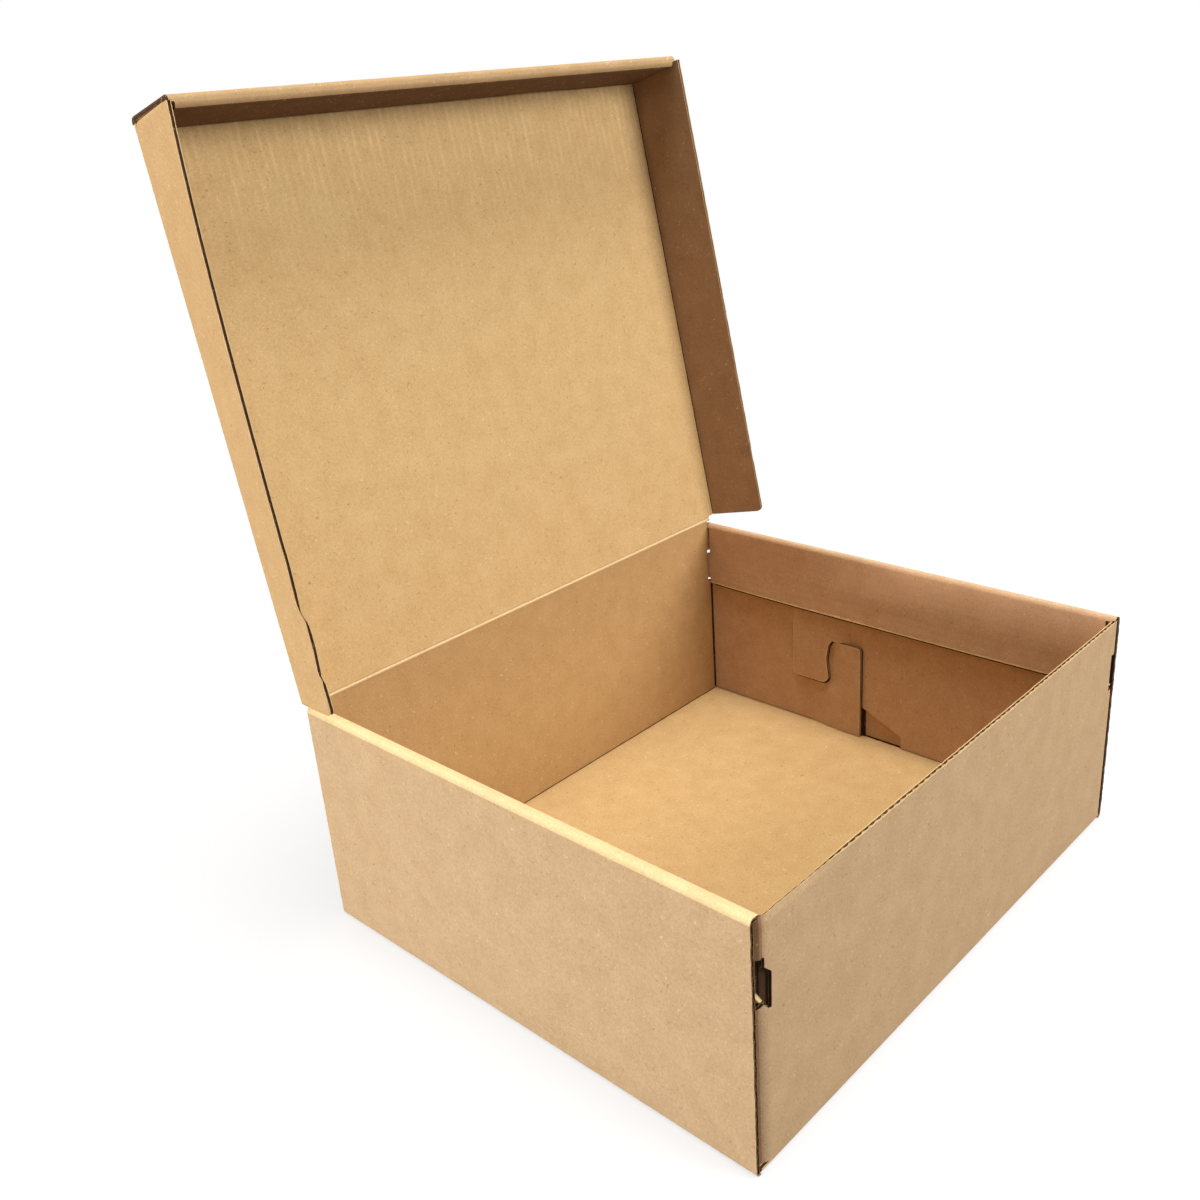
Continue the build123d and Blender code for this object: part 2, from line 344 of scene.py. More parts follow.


# To the eye: a yellower inside, a greyer outside, pale cut edges, and a pale paper for rubbing and painted highlight.
# It is one sheet: the browner liners stand for shade that the photo shows and these lamps do not give.
papers = (
    kraft_paper("kraft liner, inside", "C7A572", "C09D69", "7A5530"),
    kraft_paper("kraft liner, outside", "C5A57E", "BE9D76", "7A5A3C"),
    kraft_paper("fluting paper, in shade", "4A311B", "3C2714", "2A1A0C"),
    kraft_paper("fluting paper", "A98555", "9B7745", "5F4022"),
    kraft_paper("cut edge of the liner", "DDBE8E", "D2B07E", "9A7448"),
    # Pale paper for rubbed edges, and a painted highlight where it lies on the left rim.
    kraft_paper("rubbed kraft liner, painted highlight", "DFC392", "D8BA88", "A88658"),
    # The end-flap, turned-in and dark-shade liners are browner papers of painted shade, from slight to deep.
    kraft_paper("kraft liner, end flaps", "C39C78", "BB9470", "7A5530"),
    kraft_paper("kraft liner, turned in", "A68260", "9D7856", "6A4A2C"),
    kraft_paper("kraft liner, painted dark shade", "8A6844", "7E5C3A", "4A331C"),
)

floor_length, floor_folds, floor_at = bent(
    [(-WALL_Y, WALL_FOOT), (-WALL_Y, HALF), (WALL_Y, HALF), (WALL_Y, WALL_FOOT)], [FOLD, FOLD]
)


def floor_place(u, v, offset):
    (y, z), (ny, nz) = floor_at(v)
    offset = groove(v, floor_folds, offset)
    return u, y + ny * offset, z + nz * offset


def floor_tint(u, v, layer):
    """A dull line stands for the shade in the bottom of the two folds."""
    return DARK_SHADE if layer == INSIDE and any(abs(v - (a + b) / 2) < 0.5 for a, b in floor_folds) else layer


floor_outline = [(-FLOOR_END, 0), (FLOOR_END, 0), (FLOOR_END, floor_length), (-FLOOR_END, floor_length)]
make(
    "tray_floor",
    [cut_board(
        floor_outline, floor_place, np.arange(-180, 181, 30), [*fold_lines(floor_folds), *range(20, 330, 30)],
        tint=floor_tint,
    )],
    papers, "tray",
)

# Front wall with its two corner flaps.
# One ply of the same board, folded up from the floor; its flaps turn back along the end walls at round upright folds.
# Slots punched through those folds hold the tabs of the hems, and the cut top edge shows the flutes.
FLAP_X = 195.55  # middle of the corner flaps
HEM_X = 192.85  # middle of the hems and of the tongues
FRONT_LEFT, FRONT_RIGHT, BACK_CORNER = 9.5, FOLD, 3.25  # upright corner folds, at the middle of the board
FRONT_TOP = 151.0
FLAP_TOP = 151.0
LOCK_Y, LOCK_Z, LOCK_ROOT = 44.5, 79.5, 2.0  # where the two flaps of one end cross
SLIT = 0.25  # half of a die-cut slit
HEEL, HEEL_LOW, HEEL_HIGH = 59, 13, 39  # cut-away heel of a front flap
CRUSH, CRUSH_HEIGHT = 0.62, 5  # how flat, and how far down, the top edge is crushed at the left
SLOT_MIDDLE = 112
dice = np.random.default_rng(11)


def flap_flat(y, corner):
    """Flat place of Y on a corner flap, across the wall from its middle, as if at the front."""
    return FLAP_X + WALL_Y + y - (2 - math.pi / 2) * corner


def wall_path(end, left, right):
    """Plan of a wall and its flaps, from the end of one flap round to the end of the other, as if at the front."""
    _, folds, at = bent([(-FLAP_X, end), (-FLAP_X, -WALL_Y), (FLAP_X, -WALL_Y), (FLAP_X, end)], [left, right])
    start = flap_flat(end, left)
    return [(a - start, b - start) for a, b in folds], lambda u: at(u + start)


def mirrored(loop):
    """The same loop at the other end of the box."""
    return [(-u, v) for u, v in reversed(loop)]


def step(x, start, end):
    """Smooth step from 0 to 1 as x goes from start to end, either way."""
    t = min(max((x - start) / (end - start), 0), 1)
    return t * t * (3 - 2 * t)


front_folds, front_at = wall_path(LOCK_Y + LOCK_ROOT, FRONT_LEFT, FRONT_RIGHT)


def front_place(u, v, offset):
    crushed = 1 - CRUSH * step(-u, 118, 150) * step(v, FRONT_TOP - CRUSH_HEIGHT, FRONT_TOP) * step(-u, 205, 196)
    (x, y), (nx, ny) = front_at(u)
    offset = groove(u, front_folds, offset * crushed)
    return x + nx * offset, y + ny * offset, v


def front_half(corner):
    """Outline of one flap, from its heel round to the top of the wall."""
    lock, reach = flap_flat(LOCK_Y, corner), flap_flat(LOCK_Y + LOCK_ROOT, corner)
    return [
        (lock - HEEL, WALL_FOOT), (lock - HEEL, HEEL_LOW), (lock - SLIT, HEEL_HIGH), (lock - SLIT, LOCK_Z + SLIT),
        (reach, LOCK_Z + SLIT), (reach, FLAP_TOP), (UPRIGHT_X + 2, FLAP_TOP),
    ]


front_top = [(u, FRONT_TOP - 0.35 * dice.random()) for u in np.arange(190, -191, -1.5)]
front_outline = [*front_half(FRONT_RIGHT), *front_top, *mirrored(front_half(FRONT_LEFT))]
# The left slot has a slanted shoulder, a nick above and a notched foot that the barb of the hem hooks into.
left_slot = [
    (184.9, 96.9), (187.3, 97.8), (189.5, 100.9), (193.5, 98.6), (206, 99.2), (206, 127.1),
    (190.6, 127.1), (190.2, 128.2), (188.9, 127.6), (189, 122.2), (184.5, 117.4),
]
right_slot = [(190.5, 101.4), (204, 101.4), (204, 127.4), (190.5, 127.4)]


# Painted shade: inside the corner flaps the liner takes the browner end-flap paper.
def flap_tint(u, v, layer):
    return END_FLAP if layer == INSIDE and abs(u) > UPRIGHT_X + 2 else layer


def front_tint(u, v, layer):
    """Painted shade on the outer liner of the left corner fold, darker further round it, and wider above the slot."""
    if layer == OUTSIDE and -200 < u < 0:
        start = 188.5 if v > SLOT_MIDDLE else 191
        return (DARK_SHADE if -u > start + 2.4 else TURNED_IN if -u > start + 1.2 else END_FLAP) if -u > start else layer
    return flap_tint(u, v, layer)


wall_lines = [*np.arange(-185, 186, 10), *np.arange(210, 400, 40), *-np.arange(210, 400, 40)]
front_wall = make(
    "front_wall",
    [cut_board(
        front_outline, front_place, [*wall_lines, *fold_lines(front_folds)],
        [20, 60, 100, 130, 142, 145, 146.5, 148, 149, 150, 150.5], [right_slot, mirrored(left_slot)],
        recess=0.3, tint=front_tint,
    )],
    papers, "tray",
)
make(
    "front_wall_core",
    [fluting(-188, 188, FRONT_TOP - 14, FRONT_TOP - 0.25, front_place, filled=True)],
    papers, "tray",
)
# Behind each slot dark plates of painted shade close the hollow between the plies.
for name, low, high, depth in (
    ("left_slot_cheek", -190.6, -183.9, 1.6), ("left_slot_depth", -207, -190, 2.2),
    ("right_slot_depth", 189.5, 205, 1.35),
):
    loop = [(low, 94), (high, 94), (high, 131), (low, 131)]
    make(
        name,
        [cut_board(
            loop, front_place, fold_lines(front_folds),
            skins=((depth + 0.3, depth + 0.6), (depth, depth + 0.3)), recess=0,
        )],
        (papers[INSIDE], *[papers[SHADED]] * 4), "tray",
    )
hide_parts("tray")

# Back wall with its two corner flaps, and the crease that the lid turns on.
# The same board, folded up from the floor, running on into the lid at a crease pressed right across the sheet.
# Its flaps cross those of the front wall inside each end; the crease stops short of the rims.
HINGE_Z, HINGE_X = 156.6, 191.2
CREASE_X = 194.5  # ends of the crease, over the rims
back_reach = flap_flat(-LOCK_Y - SLIT, BACK_CORNER)
back_lock = flap_flat(-LOCK_Y, BACK_CORNER)
back_folds, back_at = wall_path(-LOCK_Y - SLIT, BACK_CORNER, BACK_CORNER)


def back_place(u, v, offset):
    (x, y), (nx, ny) = back_at(u)
    offset = groove(u, back_folds, offset, 1.9, 0.8)
    return x + nx * offset, -y - ny * offset, v


back_half = [
    (back_reach, WALL_FOOT), (back_reach, LOCK_Z - SLIT), (back_lock - LOCK_ROOT - 2 * SLIT, LOCK_Z - SLIT),
    (back_lock - LOCK_ROOT - 2 * SLIT, FLAP_TOP), (HINGE_X, FLAP_TOP), (HINGE_X, HINGE_Z - 0.2),
]
back_slot = [(190.3, 103.4), (202, 103.4), (202, 130.6), (190.3, 130.6)]
back_slots = [back_slot, mirrored(back_slot)]


def back_tint(u, v, layer):
    """A dark line of painted shade along its corner folds."""
    if layer == INSIDE and any(abs(u - (a + b) / 2) < 1.3 for a, b in back_folds):
        return SHADED
    return flap_tint(u, v, layer)


# The same inner liner, toned browner than the floor, as it looks in the photo's light.
back_papers = (kraft_paper("kraft liner, inside of the back wall", "C19B69", "B99361", "7A5530"), *papers[OUTSIDE:])
make(
    "back_wall",
    [cut_board(
        [*back_half, *mirrored(back_half)], back_place,
        [*np.arange(-180, 181, 30), *fold_lines(back_folds)], [40, 80, 120, 150], back_slots, tint=back_tint,
    )],
    back_papers, "tray",
)


def crease_place(u, v, offset):
    turn = 2 * math.pi * v
    return u, WALL_Y - 0.3 + (HALF + offset) * math.sin(turn), HINGE_Z - 0.05 + (HALF + offset) * math.cos(turn)


# The bead of liner along the crease, pale as in the photo.
make(
    "hinge_crease",
    [cut_board(
        [(-CREASE_X, 0), (CREASE_X, 0), (CREASE_X, 1), (-CREASE_X, 1)], crease_place,
        np.arange(-180, 181, 20), np.linspace(0, 1, 25), skins=((-LINER, 0.0),), tint=lambda u, v, layer: RUB_AND_HIGHLIGHT,
    )],
    papers, "tray",
)

# End walls with their rims and hems.
# Each is folded up from the floor, over a narrow rim strip and down inside, so that the hem clamps the corner flaps.
# The hem is held by a barbed tab at each end, pushed into the slots of the corner folds; nothing is glued.
RIM_Z = 154.5
HEM_FOOT, END_Y = 102.2, 168.9
HEM_FRONT, HEM_BACK = -162.6, 164.9  # ends of the hem
HEM_BOW = 2.7  # how far the hem's lower edge springs into the box, halfway between its tabs
BARB_TOP, BARB_TIP, BARB_FOOT, BARB_Y = 108.5, 104.9, 102.6, -168.7  # barbed tab at the front of the hem
TAB_LOW, TAB_HIGH, TAB_Y = 106.2, 127.3, 168.8  # square tab at the back
GAP_FRONT, GAP_BACK, GAP_TOP = 18, 30, 46  # shade on the wall beside the tongue's foot
NIBBLE, NIBBLE_DEPTH = 1.5, 0.35  # uneven cut ends
RUB_MIDDLE = 45  # where the hem's lower edge is rubbed most
CORE_Y = 152  # how far in from the cut ends the core is drawn
hem_lines = np.arange(-162, 163, 12)


def ragged(u0, v0, u1, v1, pitch, depth):
    """A cut edge from one flat point to the next, nibbled to a small depth on its left side."""
    run = np.array([u1 - u0, v1 - v0], float)
    count = max(int(np.linalg.norm(run) / pitch), 1)
    aside = np.array([-run[1], run[0]]) / np.linalg.norm(run)
    return [tuple(np.array([u0, v0]) + run * i / count + aside * depth * dice.random()) for i in range(count)]


# The left rim takes the pale paper as a painted highlight; the right rim keeps the outer liner.
for side, where, rim_drop, rim_paper in ((-1, "left", 0.0, RUB_AND_HIGHLIGHT), (1, "right", 2.4, OUTSIDE)):
    length, folds, at = bent(
        [
            (FLOOR_X - 0.5, HALF), (WALL_X, HALF), (WALL_X, RIM_Z - HALF - rim_drop),
            (HEM_X, RIM_Z - HALF), (HEM_X, HEM_FOOT),
        ],
        [FOLD] * 3,
    )
    rim_start, hem_top = folds[1][0], folds[2][1]

    def place(u, v, offset):
        (x, z), (nx, nz) = at(u)
        offset = groove(u, folds[:1], offset)
        bow = HEM_BOW * max((u - hem_top) / (length - hem_top), 0) ** 1.5 * (1 - min(abs(v) / 165, 1) ** 4)
        return side * (x + nx * offset - bow), v, z + nz * offset

    def hem_u(z):
        return length - (z - HEM_FOOT)

    def rim_tint(u, v, layer):
        """The left rim has a painted highlight, the right rim is plain; the browner inside and hem are painted shade.
        Dark paper stands for shade at cut ends, along the fold and by the tongue.
        """
        if layer == INSIDE:
            beside_foot = GAP_FRONT < v < GAP_BACK and u < GAP_TOP
            shaded = abs(u - sum(folds[0]) / 2) < 1.8 or abs(v) > 162 or beside_foot
            return SHADED if shaded else END_FLAP
        if layer == OUTSIDE and u > rim_start:
            return rim_paper if u < hem_top - 2 else END_FLAP
        if layer == CUT and abs(v) > END_Y - 1:
            return SHADED if side > 0 and v < 0 else DARK_SHADE
        return DARK_SHADE if layer == SHADED and side < 0 and v < 1 - END_Y else layer

    barb = [(hem_u(BARB_TOP), HEM_FRONT), (hem_u(BARB_TIP), BARB_Y), (hem_u(BARB_FOOT), HEM_FRONT)]
    outline = [
        *ragged(0, -END_Y, hem_top - 1, -END_Y, NIBBLE, NIBBLE_DEPTH), (hem_top - 1, -END_Y), (hem_top, HEM_FRONT),
        *barb, (length, HEM_FRONT), (length, HEM_BACK),
        (hem_u(TAB_LOW), HEM_BACK), (hem_u(TAB_LOW), TAB_Y), (hem_u(TAB_HIGH), TAB_Y), (hem_u(TAB_HIGH), HEM_BACK),
        (hem_top, HEM_BACK), (hem_top - 1, END_Y),
        *ragged(hem_top - 1, END_Y, 0, END_Y, NIBBLE, NIBBLE_DEPTH), (0, END_Y),
    ]
    # The lower edge of the hem is rubbed pale, most of all where the tongues press on it.
    rubs = [
        (length - 0.4 - (0.5 + 1.0 * step(abs(v - RUB_MIDDLE), 60, 20)) * dice.random(), v)
        for v in np.arange(HEM_BACK, HEM_FRONT, -3)
    ]
    # A dark strip stands for the shade below it.
    dark_front, dark_back, dark_edge = HEM_FRONT + 4, HEM_BACK - 4, length + 1.4
    make(
        where + "_end_wall",
        [
            cut_board(
                outline, place, [*fold_lines(folds), *range(20, 150, 26), *np.linspace(hem_top, length - 1, 8)],
                hem_lines, tint=rim_tint,
            ),
            cut_board(
                [(length, HEM_FRONT), (length, HEM_BACK), *rubs], place, (), hem_lines,
                skins=((-HALF - 0.06, -HALF + 0.05),), tint=lambda u, v, layer: RUB_AND_HIGHLIGHT,
            ),
            cut_board(
                [(length - 1, dark_front), (dark_edge, dark_front), (dark_edge, dark_back), (length - 1, dark_back)],
                place, (), hem_lines, skins=((-0.4, -0.1),), tint=lambda u, v, layer: SHADED,
            ),
            cut_board(
                barb, place, skins=((-HALF - 0.03, HALF + 0.03),), tint=lambda u, v, layer: RUB_AND_HIGHLIGHT,
            ),
        ],
        papers, "tray",
    )
    # Their cores take the dark paper of painted shade.
    make(
        where + "_end_wall_core",
        [
            fluting(first, last, low, high, place)
            for first, last, low, high in (
                (2, rim_start + 2, -END_Y + 0.6, -CORE_Y), (2, rim_start + 2, CORE_Y, END_Y - 0.6),
                (hem_top, length - 1, HEM_FRONT + 0.3, -CORE_Y), (hem_top, length - 1, CORE_Y, HEM_BACK - 0.3),
            )
        ],
        (*papers[:CORE], papers[DARK_SHADE]), "tray",
    )

# Tongues of the corner flaps.
# Where the flaps of one end cross, each has a tongue that lies over the other, below the hem.
# The front one hangs with an S-shaped edge; the back one stands square beside it. They only interlock.
TONGUE_TOP = HEM_FOOT + 2.0
TONGUE_FOOT = 41.5


def rounded(corners, radii, count=7):
    """A loop with its corners rounded, in flat millimetres."""
    loop, total = [], len(corners)
    for i, radius in enumerate(radii):
        corner = np.array(corners[i], float)
        before = np.array(corners[i - 1], float) - corner
        after = np.array(corners[(i + 1) % total], float) - corner
        before, after = before / np.linalg.norm(before), after / np.linalg.norm(after)
        half = math.acos(max(-1, min(1, before @ after))) / 2
        if not radius or half > 1.55:
            loop.append(tuple(corner))
            continue
        centre = corner + (before + after) / np.linalg.norm(before + after) * radius / math.sin(half)
        start = corner + before * radius / math.tan(half) - centre
        end = corner + after * radius / math.tan(half) - centre
        turn = math.atan2(start[0] * end[1] - start[1] * end[0], start @ end)
        for angle in np.linspace(0, turn, count):
            spin = np.array([[math.cos(angle), -math.sin(angle)], [math.sin(angle), math.cos(angle)]])
            loop.append(tuple(centre + spin @ start))
    return loop


front_tongue = rounded(
    [
        (LOCK_Y - 18, LOCK_Z + SLIT), (LOCK_Y + LOCK_ROOT, LOCK_Z + SLIT), (LOCK_Y + 5, 75), (LOCK_Y + 7, 63.5),
        (LOCK_Y + 4, TONGUE_FOOT), (LOCK_Y + 38, TONGUE_FOOT), (LOCK_Y + 38, TONGUE_TOP), (LOCK_Y - 18, TONGUE_TOP),
    ],
    [0, 0, 4, 25, 7, 4, 0, 0],
)
back_tongue = rounded(
    [(LOCK_Y - 24, 3.0), (LOCK_Y + 26, 3.0), (LOCK_Y + 26, LOCK_Z - SLIT), (LOCK_Y - 24, LOCK_Z - SLIT)], [0, 0, 0, 2]
)
ROOT_X = FLAP_X + 0.25  # where a tongue has come down to its own flap


def front_tongue_x(y, z):
    return ROOT_X + (HEM_X - ROOT_X) * step(y, LOCK_Y - 18, LOCK_Y + 2)


def back_tongue_x(y, z):
    under = LOCK_Y + 4 + 21 * step(z, 43, 28)
    return HEM_X + (ROOT_X - HEM_X) * step(y, LOCK_Y - 8, under)


def tongue_place(side, depth):
    def place(u, v, offset):
        return side * (depth(u, v) - offset), u, v
    return place


# Painted shade: the tongues' inner liner takes the browner end-flap paper, their lower cut edges the dark paper.
def tongue_tint(u, v, layer):
    if layer == CUT and u < LOCK_Y + 8 and v < LOCK_Z - 1:
        return SHADED
    return END_FLAP if layer == INSIDE else layer


def shrunk(loop, by):
    """The same loop, drawn in by a small width."""
    points = np.array(loop)
    run = np.roll(points, -1, 0) - np.roll(points, 1, 0)
    aside = np.stack([-run[:, 1], run[:, 0]], 1)
    return [tuple(p) for p in points + by * aside / np.linalg.norm(run, axis=1)[:, None]]


for side, where in ((-1, "left"), (1, "right")):
    parts = []
    for loop, depth, across, along, shade_shift in (
        (front_tongue, front_tongue_x, np.arange(28, 80, 2.5), [50, 60, 70, 80, 90], (-0.5, -2.0)),
        (back_tongue, back_tongue_x, np.arange(22, 70, 2.5), np.arange(10, 79, 5), (-0.8, 0.0)),
    ):
        place = tongue_place(side, depth)
        parts.append(cut_board(loop, place, across, along, tint=tongue_tint))
        # Their cut edges are pale, partly rubbed by handling and partly a painted highlight.
        parts.append(cut_board(
            loop, place, across, along, [shrunk(loop, 0.5)], ((HALF - 0.05, HALF + 0.06),),
            tint=lambda u, v, layer: RUB_AND_HIGHLIGHT,
        ))
        # A thin dark plate behind each stands for the shade along the edges that stand away from the wall.
        parts.append(cut_board(
            [(u + shade_shift[0], v + shade_shift[1]) for u, v in loop], place, across, along,
            skins=((0.06 - HALF, 0.25 - HALF),), tint=lambda u, v, layer: SHADED,
        ))
    make(where + "_tongues", parts, papers, "tray")

# Lid panel with its rolled front flap.
# The sheet runs on past the hinge crease: a flat panel, then a front flap rolled over the ears of the side flaps.
# It stands open just past upright, held by the stiffness of the crease.
LID_OPEN = math.radians(100.6)
LID_X = 201.35  # middle of the side flaps at their folds
LID_LENGTH = 345.25
ROLL_DEPTH, ROLL_LEAN = 44.28, math.radians(3.9)
ROLL_X = 202.3  # ends of the roll
ROLL_PLIES = 3 * BOARD + 0.4
LID_START = 1.4  # from the hinge to the start of the panel
WASHBOARD = (240, 325)  # from the hinge, where the flutes begin to show and show most


def opened(x, a, b):
    """Place of a point of the lid: a from the hinge towards the front edge, b from the panel towards the inside."""
    return (
        x,
        WALL_Y - a * math.cos(LID_OPEN) - b * math.sin(LID_OPEN),
        HINGE_Z + a * math.sin(LID_OPEN) - b * math.cos(LID_OPEN),
    )


down = np.array([math.sin(ROLL_LEAN), math.cos(ROLL_LEAN)])
inward = np.array([-math.cos(ROLL_LEAN), math.sin(ROLL_LEAN)])
roll_top = np.array([LID_LENGTH - HALF, 0.0])
roll_edge = roll_top + down * (ROLL_DEPTH - BOARD)
roll_turn = roll_edge + inward * (ROLL_PLIES - BOARD)
roll_foot = roll_turn - down * (ROLL_DEPTH - 3 * HALF - 0.3)
lid_length, lid_folds, lid_at = bent([(LID_START, 0), roll_top, roll_edge, roll_turn, roll_foot], [FOLD] * 3)


def lid_place(u, v, offset):
    (a, b), (na, nb) = lid_at(v)
    offset = groove(v, lid_folds[:1], offset)
    return opened(u, a + na * offset, b + nb * offset)


spine = (lid_folds[1][0] + lid_folds[2][1]) / 2
panel_x = LID_X - 2 * FOLD
inner_x = 199.5
foot_edge = [
    (u, lid_length - 1.2 - 1.0 * step(u, -190, -80) * step(-u, -160, -60) - 3.0 * math.exp(-(((u - 95) / 32) ** 2)))
    for u in np.arange(inner_x, -inner_x - 1, -7.0)
]
roll_start = lid_folds[0][0] - 0.6
lid_outline = [
    (-CREASE_X, 0), (CREASE_X, 0), (CREASE_X, 1.1), (panel_x, 1.1), (panel_x, roll_start), (ROLL_X, roll_start),
    (ROLL_X, spine), (inner_x, spine + 0.5), *foot_edge, (-inner_x, spine + 0.5), (-ROLL_X, spine),
    (-ROLL_X, roll_start), (-panel_x, roll_start), (-panel_x, 1.1), (-CREASE_X, 1.1),
]
# Near the roll the flutes show through the liner as a washboard.
# The same liners: the lid's inside paler, a painted light; the roll's edge and inner ply darker, a painted shade.
lid_papers = (
    kraft_paper("kraft liner, inside the lid", "CEAC79", "C7A470", "7A5530", WASHBOARD), *papers[OUTSIDE:TURNED_IN],
    kraft_paper("kraft liner, edge of the roll", "B5946A", "AD8C62", "7A5A3C"),
    kraft_paper("kraft liner, inside the roll", "6A4C30", "604428", "3A2816"),
)


def roll_tint(u, v, layer):
    """Painted shade: dark cut ends of the roll, a darker edge and a dark inner ply."""
    if layer == CUT and v > roll_start and abs(u) > inner_x - 0.1:
        return SHADED
    if layer == OUTSIDE and v > lid_folds[1][0]:
        return DARK_SHADE if v > lid_folds[2][1] - 1 else TURNED_IN
    return layer


lid_panel = make(
    "lid_panel",
    [cut_board(
        lid_outline, lid_place, np.arange(-189, 190, 21),
        [*range(15, 340, 25), *fold_lines(lid_folds), lid_length - 20, lid_length - 6],
        tint=roll_tint,
    )],
    lid_papers, "lid",
)
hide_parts("lid")

# Side flaps of the lid with their ears.
# Folded in from the panel; each ends in an ear, turned across and held inside the rolled front flap.
# Handling has spread them: they lean out more and more towards the hinge, and the left one's edge is nicked.
FLAP_DEPTH = 45.25  # fold to free edge, at the middle of the board
FLAP_REAR = 2.5
EAR_FOLD = LID_LENGTH - BOARD - 0.2 - HALF  # middle of the ear
EAR_LENGTH = 36.0
FLAP_BEND = math.radians(82)
flat_run = 2 * FOLD - FOLD * math.tan(FLAP_BEND / 2)
flap_foot = flat_run + FOLD * FLAP_BEND
flap_reach = flap_foot + FLAP_DEPTH - FOLD * math.tan(FLAP_BEND / 2)
EAR_BEND = 1.45  # fold of the ear, at the middle of the board
ear_turn = EAR_FOLD - EAR_BEND  # where the flap begins to turn into its ear
ear_run = ear_turn + EAR_BEND * math.pi / 2 + EAR_LENGTH
ear_low, ear_high = flap_foot + 2.5, flap_foot + 36.5
corner_end = roll_start + 1.25  # corners of the flap, on both sides of the ear


def left_lean(a):
    return math.radians(2.9 + 9.2 * (1 - math.exp((a - EAR_FOLD) / 95)))


def right_lean(a):
    return math.radians(3.8 + 8.1 * (1 - a / EAR_FOLD))


def left_dent(a):
    """How far the left free edge is knocked out, and how flat it is pinched, at two places near the hinge."""
    out = 2.2 * step(a, 58, 69) * step(a, 104, 70) + 0.9 * step(a, 23, 28) * step(a, 46, 29) - 1.75 * step(a, 110, 70)
    pinch = 0.8 * math.exp(-(((a - 65) / 6) ** 2)) + 0.7 * math.exp(-(((a - 26) / 3) ** 2))
    return out, pinch


def right_dent(a):
    """The right free edge is straight, and only pinched at its worn rear corner."""
    return 0.0, 0.5 * math.exp(-(((a - 48) / 5) ** 2))


def side_tint(u, v, layer):
    """Painted shade: a dark line along the fold and at the corners, and a browner inside."""
    if layer == INSIDE and abs(u - (flat_run + flap_foot) / 2) < 0.4:
        return SHADED
    if layer == CUT and v > corner_end - 0.1:
        return SHADED
    return TURNED_IN if layer == INSIDE and u > flap_foot - 1 else layer


# The same outer liner, toned yellower than the other walls, as it looks in the photo's light.
side_papers = (
    papers[INSIDE], kraft_paper("kraft liner, outside of the lid flaps", "C39E6E", "BC9767", "7A5A3C"),
    *papers[SHADED:],
)


def flap_place(side, lean, dent):
    def place(u, v, offset):
        on_ear = v > ear_turn and ear_low - 0.7 < u < ear_high + 0.7
        a = ear_turn if on_ear else v
        bend = math.pi / 2 - lean(a)
        cut = FOLD * math.tan(bend / 2)
        out, pinch = dent(a)
        nearness = max((u - flap_foot) / (flap_reach - flap_foot), 0) ** 3
        offset = groove(u, ((flat_run, flap_foot),), offset, 1.9, 0.5) * (1 - pinch * nearness)
        if u < flat_run:
            x, b, nx, nb = LID_X - 2 * FOLD + u * (2 * FOLD - cut) / flat_run, 0.0, 0.0, 1.0
        else:
            turn = bend * min((u - flat_run) / (flap_foot - flat_run), 1)
            x, b = LID_X - cut + FOLD * math.sin(turn), FOLD * (1 - math.cos(turn))
            nx, nb = -math.sin(turn), math.cos(turn)
            run = max(u - flap_foot, 0) * (FLAP_DEPTH - cut) / (flap_reach - flap_foot)
            x += run * math.cos(turn) - nx * out * nearness
            b += run * math.sin(turn) - nb * out * nearness
        lift = b * math.tan(ROLL_LEAN) * step(a, 40, ear_turn)
        if not on_ear:
            return opened(side * (x + nx * offset), a + lift, b + nb * offset)
        turn = min((v - ear_turn) / EAR_BEND, math.pi / 2)
        beyond = max(v - ear_turn - EAR_BEND * math.pi / 2, 0)
        forward = (EAR_BEND - offset) * math.sin(turn)
        aside = EAR_BEND * (1 - math.cos(turn)) + beyond + offset * math.cos(turn)
        return opened(side * (x - aside), a + lift + forward, b)
    return place


for side, lean, dent, where in ((-1, left_lean, left_dent, "left"), (1, right_lean, right_dent, "right")):
    place = flap_place(side, lean, dent)
    rear_round = rounded(
        [(flap_reach - 12, FLAP_REAR), (flap_reach, FLAP_REAR), (flap_reach, FLAP_REAR + 12)], [0, 4, 0]
    )
    free_edge = [(flap_reach - 0.25 * dice.random(), a) for a in np.arange(FLAP_REAR + 14, ear_turn - 2, 4.0)]
    slit_foot = ear_turn - 1.0
    outline = [
        (0, FLAP_REAR), *rear_round, *free_edge, (flap_reach, corner_end), (ear_high + 0.9, corner_end),
        (ear_high + 0.9, slit_foot), (ear_high + 0.4, slit_foot), (ear_high + 0.4, ear_turn + 2), (ear_high, ear_run),
        (ear_low, ear_run), (ear_low - 0.4, ear_turn + 2), (ear_low - 0.4, slit_foot), (ear_low - 0.9, slit_foot),
        (ear_low - 0.9, corner_end), (0, corner_end),
    ]
    turn_lines = np.linspace(ear_turn, ear_turn + EAR_BEND * math.pi / 2, 8)
    make(
        "lid_" + where + "_flap",
        [cut_board(
            outline, place,
            [*np.linspace(flat_run, flap_foot, 13), flap_foot + 15, flap_foot + 30, flap_reach - 5, flap_reach - 1.5],
            [*range(16, 108, 3), *range(112, 330, 12), *turn_lines, ear_run - 15], tint=side_tint,
        )],
        side_papers, "lid",
    )
    make(
        "lid_" + where + "_flap_core",
        [fluting(flap_foot, flap_reach - 3, FLAP_REAR + 0.3, FLAP_REAR + 14, place)],
        papers, "lid",
    )

# Studio.
# A white paper floor that runs off into a white room, with broad soft lamps above, in front and behind.
# Smaller lamps stand low at the left and at the front left. The camera stands at the photograph's place.
FLOOR_REACH = 3.0
stage_mesh = bpy.data.meshes.new("studio_floor")
stage_mesh.from_pydata(
    [(x * FLOOR_REACH, y * FLOOR_REACH, 0) for x, y in ((-1, -1), (1, -1), (1, 1), (-1, 1))], [], [(0, 1, 2, 3)]
)
stage = bpy.data.objects.new("studio_floor", stage_mesh)
bpy.context.scene.collection.objects.link(stage)
